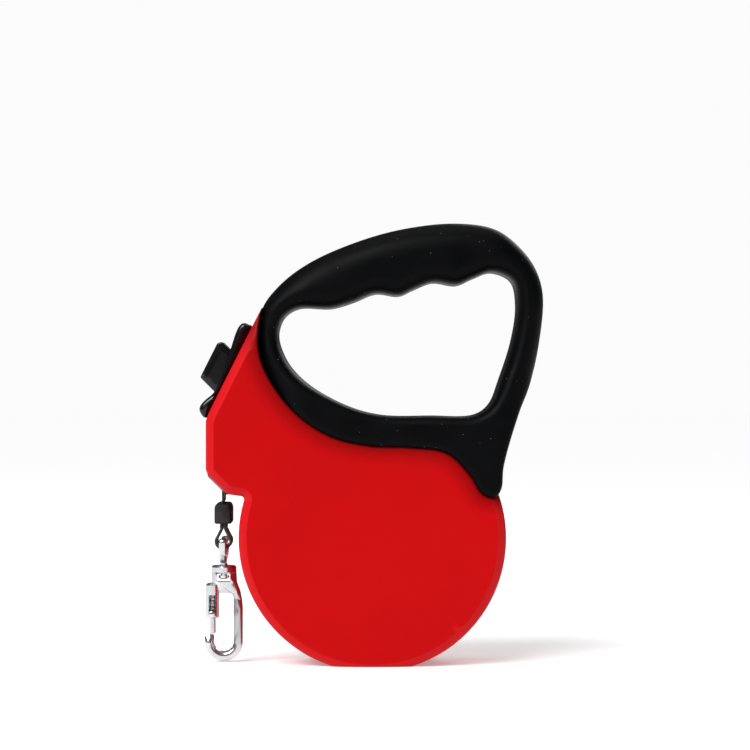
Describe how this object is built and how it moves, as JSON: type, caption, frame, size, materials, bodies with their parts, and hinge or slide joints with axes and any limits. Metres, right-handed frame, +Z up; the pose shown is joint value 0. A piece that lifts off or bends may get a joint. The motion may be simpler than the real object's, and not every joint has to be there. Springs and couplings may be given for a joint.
{
  "type": "retractable leash",
  "caption": "Retractable belt leash: a sprung reel in a two-part round case with a closed-loop finger grip, a thumb brake and a swivel snap hook.",
  "frame": {"origin": "middle of the standing flat under the round case, at the bottom of the whole leash's box", "axes": "+Z up through the grip, +X from the brake and belt mouth to the back of the grip, +Y along the reel's axle to the right-hand case half"},
  "size_m": [0.1158, 0.0364, 0.149],
  "materials": {
    "case_red": "satin moulded plastic with a fine grain",
    "grip_rubber": "soft matte over-moulded rubber",
    "gloss_black": "glossy moulded plastic",
    "nylon": "natural nylon",
    "spring_steel": "blued spring steel",
    "steel": "zinc-plated steel",
    "bronze": "sintered bronze",
    "webbing": "woven polyester webbing",
    "stop_rubber": "matte rubber",
    "hook_metal": "polished nickel plate"
  },
  "bodies": {
    "case": {"case_left": "case_red", "case_right": "case_red", "grip_left": "grip_rubber", "grip_right": "grip_rubber", "brake_bezel": "gloss_black", "axle": "steel", "belt_run": "webbing", "mouth_insert": "gloss_black", "roller_pin": "steel", "case_screw_front": "steel", "case_screw_low_front": "steel", "case_screw_low_back": "steel", "case_screw_back": "steel", "grip_screw_front_leg": "steel", "grip_screw_front_top": "steel", "grip_screw_back_top": "steel", "grip_screw_back_leg": "steel"},
    "reel": {"reel_drum": "nylon", "spring_cup": "nylon", "spring_cover": "nylon", "mainspring": "spring_steel", "belt_roll": "webbing", "bush_left": "bronze", "bush_right": "bronze"},
    "guide": {"guide_roller": "nylon"},
    "brake": {"brake_plunger": "nylon", "brake_spring": "spring_steel"},
    "button": {"brake_button": "gloss_black"},
    "lead": {"belt_lead": "webbing", "belt_stop": "stop_rubber"},
    "eye": {"swivel_eye": "hook_metal"},
    "hook": {"hook_body": "hook_metal"},
    "bolt": {"hook_bolt": "hook_metal", "hook_spring": "spring_steel"}
  },
  "joints": [
    {"name": "reel_spin", "type": "hinge", "parent": "case", "child": "reel", "pos_m": [0.00032, 0, 0.0429], "axis": [0, -1, 0], "range_deg": [0, 9720], "stiffness_Nm_per_rad": 0.00022, "springref_deg": -7792.23, "deforming": ["mainspring"]},
    {"name": "guide_spin", "type": "hinge", "parent": "case", "child": "guide", "pos_m": [-0.04651, 0, 0.06531], "axis": [0, -1, 0], "continuous": true},
    {"name": "brake_press", "type": "slide", "parent": "case", "child": "brake", "axis": [0.7071, 0, -0.7071], "range_m": [0, 0.004], "stiffness_N_per_m": 500, "springref_m": -0.001, "deforming": ["brake_spring"]},
    {"name": "brake_lock", "type": "slide", "parent": "brake", "child": "button", "axis": [-0.4493, 0, -0.8934], "range_m": [0, 0.003]},
    {"name": "lead_swing", "type": "hinge", "parent": "case", "child": "lead", "pos_m": [-0.05021, 0, 0.05863], "axis": [0, 1, 0], "range_deg": [0, 90]},
    {"name": "eye_swing", "type": "hinge", "parent": "lead", "child": "eye", "pos_m": [-0.05021, 0, 0.04133], "axis": [0, 1, 0], "range_deg": [0, 80]},
    {"name": "hook_swivel", "type": "hinge", "parent": "eye", "child": "hook", "pos_m": [-0.05021, 0, 0.03293], "axis": [0, 0, 1], "continuous": true},
    {"name": "hook_open", "type": "slide", "parent": "hook", "child": "bolt", "axis": [0, 0, 1], "range_m": [0, 0.005], "stiffness_N_per_m": 250, "springref_m": -0.002, "deforming": ["hook_spring"]}
  ],
  "couplings": [
    {"joint": "guide_spin", "follows": "reel_spin", "ratio": 9.4045}
  ]
}
